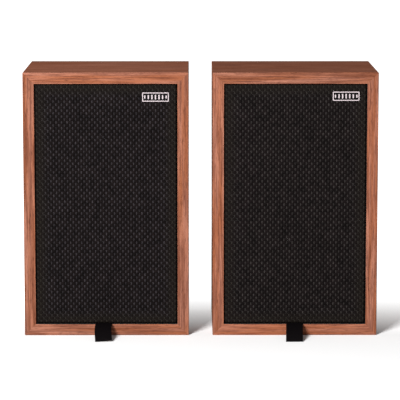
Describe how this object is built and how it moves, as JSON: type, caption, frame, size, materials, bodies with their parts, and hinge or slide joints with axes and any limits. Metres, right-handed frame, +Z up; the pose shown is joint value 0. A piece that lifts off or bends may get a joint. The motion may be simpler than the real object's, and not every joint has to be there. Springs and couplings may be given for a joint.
{
  "type": "pair of bookshelf loudspeakers",
  "caption": "Pair of upright wooden loudspeaker cabinets with mitred front edges, recessed woven grilles, fabric pull tabs and screw terminals at the back.",
  "frame": {"origin": "on the surface the cabinets stand on, under the middle of the pair's overall box", "axes": "+X to the right as seen by a listener in front, +Y away from the listener, +Z up"},
  "size_m": [0.4074, 0.2296, 0.305],
  "materials": {
    "veneer": "open-grained veneer under a satin oil finish",
    "batten_wood": "planed beech",
    "baffle_black": "birch ply painted matt black",
    "back_board": "birch ply painted satin black",
    "damping": "bitumen pad with open-cell foam over it",
    "screw_steel": "blackened steel",
    "hook_tape": "nylon hook tape",
    "cast_metal": "coated cast metal",
    "motor_steel": "plated steel and ferrite",
    "surround_rubber": "soft rubber",
    "spider_cloth": "resin-dipped woven cotton",
    "cone_plastic": "doped thermoplastic",
    "coil_copper": "enamelled copper wire on a paper former",
    "faceplate_black": "black anodised, fine turned",
    "guard_metal": "perforated steel, black enamel",
    "dome_cloth": "doped textile",
    "felt": "dense wool felt",
    "board_green": "lacquered circuit board",
    "post_metal": "gold-plated brass",
    "frame_black": "softwood stained black",
    "grille_fabric": "coarse plain weave, matt",
    "badge_plate": "black anodised with a bright rim",
    "ribbon": "ribbed woven ribbon",
    "washer_metal": "gold-plated brass",
    "knob_red": "moulded nylon",
    "knob_black": "moulded nylon"
  },
  "bodies": {
    "left_cabinet": {"left_top_panel": "veneer", "left_bottom_panel": "veneer", "left_side_panels": "veneer", "left_back_panel": "back_board", "left_battens": "batten_wood", "left_damping_pads": "damping", "left_baffle": "baffle_black", "left_front_screws": "screw_steel", "left_hook_pads": "hook_tape", "left_woofer_basket": "cast_metal", "left_woofer_magnet": "motor_steel", "left_woofer_surround": "surround_rubber", "left_woofer_spider": "spider_cloth", "left_tweeter_faceplate": "faceplate_black", "left_tweeter_magnet": "motor_steel", "left_tweeter_guard": "guard_metal", "left_tweeter_felt": "felt", "left_crossover": "board_green", "left_terminal_posts": "post_metal"},
    "left_grille": {"left_grille_frame": "frame_black", "left_grille_cloth": "grille_fabric", "left_badge": "badge_plate"},
    "left_tab": {"left_pull_tab": "ribbon"},
    "left_woofer_moving": {"left_woofer_cone": "cone_plastic", "left_woofer_voice_coil": "coil_copper"},
    "left_tweeter_moving": {"left_tweeter_dome": "dome_cloth"},
    "left_red_washer": {"left_red_washer": "washer_metal"},
    "left_red_knob": {"left_red_knob": "knob_red"},
    "left_black_washer": {"left_black_washer": "washer_metal"},
    "left_black_knob": {"left_black_knob": "knob_black"},
    "right_cabinet": {"right_top_panel": "veneer", "right_bottom_panel": "veneer", "right_side_panels": "veneer", "right_back_panel": "back_board", "right_battens": "batten_wood", "right_damping_pads": "damping", "right_baffle": "baffle_black", "right_front_screws": "screw_steel", "right_hook_pads": "hook_tape", "right_woofer_basket": "cast_metal", "right_woofer_magnet": "motor_steel", "right_woofer_surround": "surround_rubber", "right_woofer_spider": "spider_cloth", "right_tweeter_faceplate": "faceplate_black", "right_tweeter_magnet": "motor_steel", "right_tweeter_guard": "guard_metal", "right_tweeter_felt": "felt", "right_crossover": "board_green", "right_terminal_posts": "post_metal"},
    "right_grille": {"right_grille_frame": "frame_black", "right_grille_cloth": "grille_fabric", "right_badge": "badge_plate"},
    "right_tab": {"right_pull_tab": "ribbon"},
    "right_woofer_moving": {"right_woofer_cone": "cone_plastic", "right_woofer_voice_coil": "coil_copper"},
    "right_tweeter_moving": {"right_tweeter_dome": "dome_cloth"},
    "right_red_washer": {"right_red_washer": "washer_metal"},
    "right_red_knob": {"right_red_knob": "knob_red"},
    "right_black_washer": {"right_black_washer": "washer_metal"},
    "right_black_knob": {"right_black_knob": "knob_black"}
  },
  "joints": [
    {"name": "pair_spacing", "type": "slide", "parent": "left_cabinet", "child": "right_cabinet", "axis": [1, 0, 0], "range_m": [-0.02, 0.25]},
    {"name": "left_grille_pull", "type": "slide", "parent": "left_cabinet", "child": "left_grille", "axis": [0, -1, 0], "range_m": [0, 0.06]},
    {"name": "left_tab_lift", "type": "hinge", "parent": "left_grille", "child": "left_tab", "pos_m": [-0.1121, -0.07317, 0.0144], "axis": [-1, 0, 0], "range_deg": [0, 70]},
    {"name": "left_cone_travel", "type": "slide", "parent": "left_cabinet", "child": "left_woofer_moving", "axis": [0, -1, 0], "range_m": [-0.003, 0.003], "stiffness_N_per_m": 700, "deforming": ["left_woofer_surround", "left_woofer_spider"]},
    {"name": "left_dome_travel", "type": "slide", "parent": "left_cabinet", "child": "left_tweeter_moving", "axis": [0, -1, 0], "range_m": [-0.0003, 0.0003], "stiffness_N_per_m": 100},
    {"name": "left_red_clamp", "type": "slide", "parent": "left_cabinet", "child": "left_red_washer", "axis": [0, 1, 0], "range_m": [0, 0.005]},
    {"name": "left_red_turn", "type": "hinge", "parent": "left_red_washer", "child": "left_red_knob", "pos_m": [-0.11822, 0.10483, 0.062], "axis": [0, 1, 0], "range_deg": [0, 1800]},
    {"name": "left_black_clamp", "type": "slide", "parent": "left_cabinet", "child": "left_black_washer", "axis": [0, 1, 0], "range_m": [0, 0.005]},
    {"name": "left_black_turn", "type": "hinge", "parent": "left_black_washer", "child": "left_black_knob", "pos_m": [-0.09917, 0.10483, 0.062], "axis": [0, 1, 0], "range_deg": [0, 1800]},
    {"name": "right_grille_pull", "type": "slide", "parent": "right_cabinet", "child": "right_grille", "axis": [0, -1, 0], "range_m": [0, 0.06]},
    {"name": "right_tab_lift", "type": "hinge", "parent": "right_grille", "child": "right_tab", "pos_m": [0.1087, -0.07317, 0.0144], "axis": [-1, 0, 0], "range_deg": [0, 70]},
    {"name": "right_cone_travel", "type": "slide", "parent": "right_cabinet", "child": "right_woofer_moving", "axis": [0, -1, 0], "range_m": [-0.003, 0.003], "stiffness_N_per_m": 700, "deforming": ["right_woofer_surround", "right_woofer_spider"]},
    {"name": "right_dome_travel", "type": "slide", "parent": "right_cabinet", "child": "right_tweeter_moving", "axis": [0, -1, 0], "range_m": [-0.0003, 0.0003], "stiffness_N_per_m": 100},
    {"name": "right_red_clamp", "type": "slide", "parent": "right_cabinet", "child": "right_red_washer", "axis": [0, 1, 0], "range_m": [0, 0.005]},
    {"name": "right_red_turn", "type": "hinge", "parent": "right_red_washer", "child": "right_red_knob", "pos_m": [0.09917, 0.10483, 0.062], "axis": [0, 1, 0], "range_deg": [0, 1800]},
    {"name": "right_black_clamp", "type": "slide", "parent": "right_cabinet", "child": "right_black_washer", "axis": [0, 1, 0], "range_m": [0, 0.005]},
    {"name": "right_black_turn", "type": "hinge", "parent": "right_black_washer", "child": "right_black_knob", "pos_m": [0.11822, 0.10483, 0.062], "axis": [0, 1, 0], "range_deg": [0, 1800]}
  ],
  "couplings": [
    {"joint": "left_red_turn", "follows": "left_red_clamp", "rad_per_m": 6283.2},
    {"joint": "left_black_turn", "follows": "left_black_clamp", "rad_per_m": 6283.2},
    {"joint": "right_red_turn", "follows": "right_red_clamp", "rad_per_m": 6283.2},
    {"joint": "right_black_turn", "follows": "right_black_clamp", "rad_per_m": 6283.2}
  ]
}
